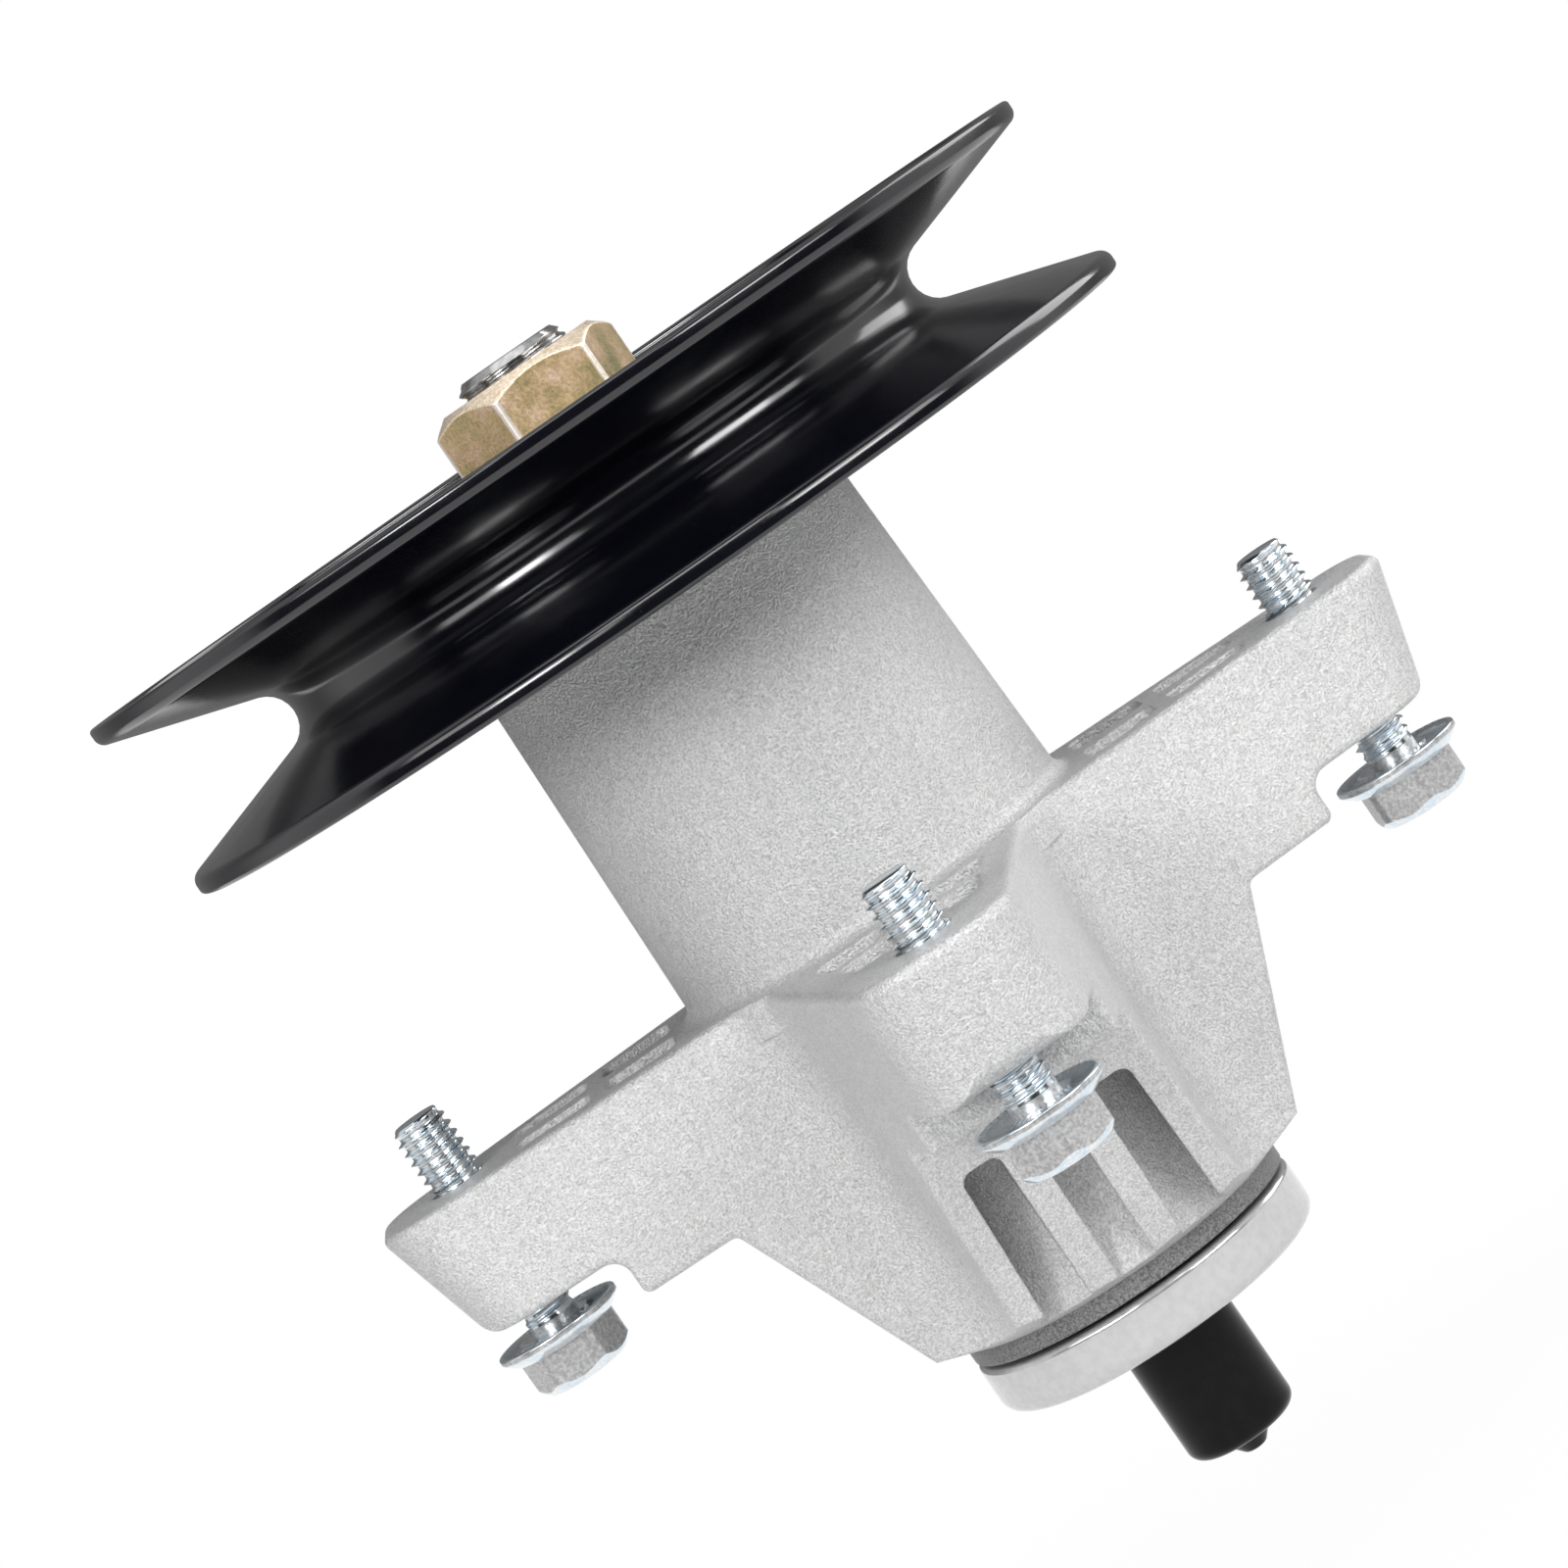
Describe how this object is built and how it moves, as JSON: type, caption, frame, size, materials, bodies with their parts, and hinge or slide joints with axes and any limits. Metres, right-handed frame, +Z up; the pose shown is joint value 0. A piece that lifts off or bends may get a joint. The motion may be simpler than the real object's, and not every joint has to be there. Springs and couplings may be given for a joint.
{
  "type": "mower deck spindle",
  "caption": "Belt-driven spindle for a mower deck, with a cast star-shaped housing, a black V pulley on top and a capped blade thread below.",
  "frame": {"origin": "on the spindle's axis, level with the undersides of the four feet", "axes": "+Z up along the spindle's axis towards the pulley, arms along X and Y"},
  "size_m": [0.154, 0.154, 0.1713],
  "materials": {
    "cast_aluminium": "rough sand cast, blasted",
    "screw_zinc": "bright zinc plate, worn",
    "shaft_steel": "turned, light oil",
    "spacer_steel": "turned",
    "pulley_paint": "gloss black",
    "nut_zinc": "yellow chromate zinc plate",
    "washer_zinc": "bright zinc plate",
    "race_steel": "ground",
    "ball_steel": "polished",
    "cage_steel": "pressed",
    "seal_rubber": "matt",
    "cap_plastic": "soft gloss black"
  },
  "bodies": {
    "housing": {"spindle_housing": "cast_aluminium", "mounting_screws": "screw_zinc", "upper_bearing_outer_race": "race_steel", "lower_bearing_outer_race": "race_steel", "upper_bearing_top_seal": "seal_rubber", "upper_bearing_bottom_seal": "seal_rubber", "lower_bearing_top_seal": "seal_rubber", "lower_bearing_bottom_seal": "seal_rubber"},
    "rotor": {"spindle_shaft": "shaft_steel", "upper_bearing_inner_race": "race_steel", "lower_bearing_inner_race": "race_steel", "bearing_spacer_tube": "spacer_steel", "top_spacer": "spacer_steel", "dust_shield": "washer_zinc", "belt_pulley": "pulley_paint", "pulley_hub": "pulley_paint", "top_washer": "washer_zinc", "top_nut": "nut_zinc"},
    "upper_cage": {"upper_bearing_cage": "cage_steel", "upper_bearing_balls": "ball_steel"},
    "lower_cage": {"lower_bearing_cage": "cage_steel", "lower_bearing_balls": "ball_steel"},
    "cap": {"thread_cap": "cap_plastic"}
  },
  "joints": [
    {"name": "spin", "type": "hinge", "parent": "housing", "child": "rotor", "pos_m": [0, 0, 0], "axis": [0, 0, 1], "continuous": true},
    {"name": "upper_cage_turn", "type": "hinge", "parent": "housing", "child": "upper_cage", "pos_m": [0, 0, 0.062], "axis": [0, 0, 1], "continuous": true},
    {"name": "lower_cage_turn", "type": "hinge", "parent": "housing", "child": "lower_cage", "pos_m": [0, 0, -0.0316], "axis": [0, 0, 1], "continuous": true},
    {"name": "cap_pull", "type": "slide", "parent": "rotor", "child": "cap", "axis": [0, 0, -1], "range_m": [0, 0.0215]}
  ],
  "couplings": [
    {"joint": "upper_cage_turn", "follows": "spin", "ratio": 0.38175},
    {"joint": "lower_cage_turn", "follows": "spin", "ratio": 0.38175}
  ]
}
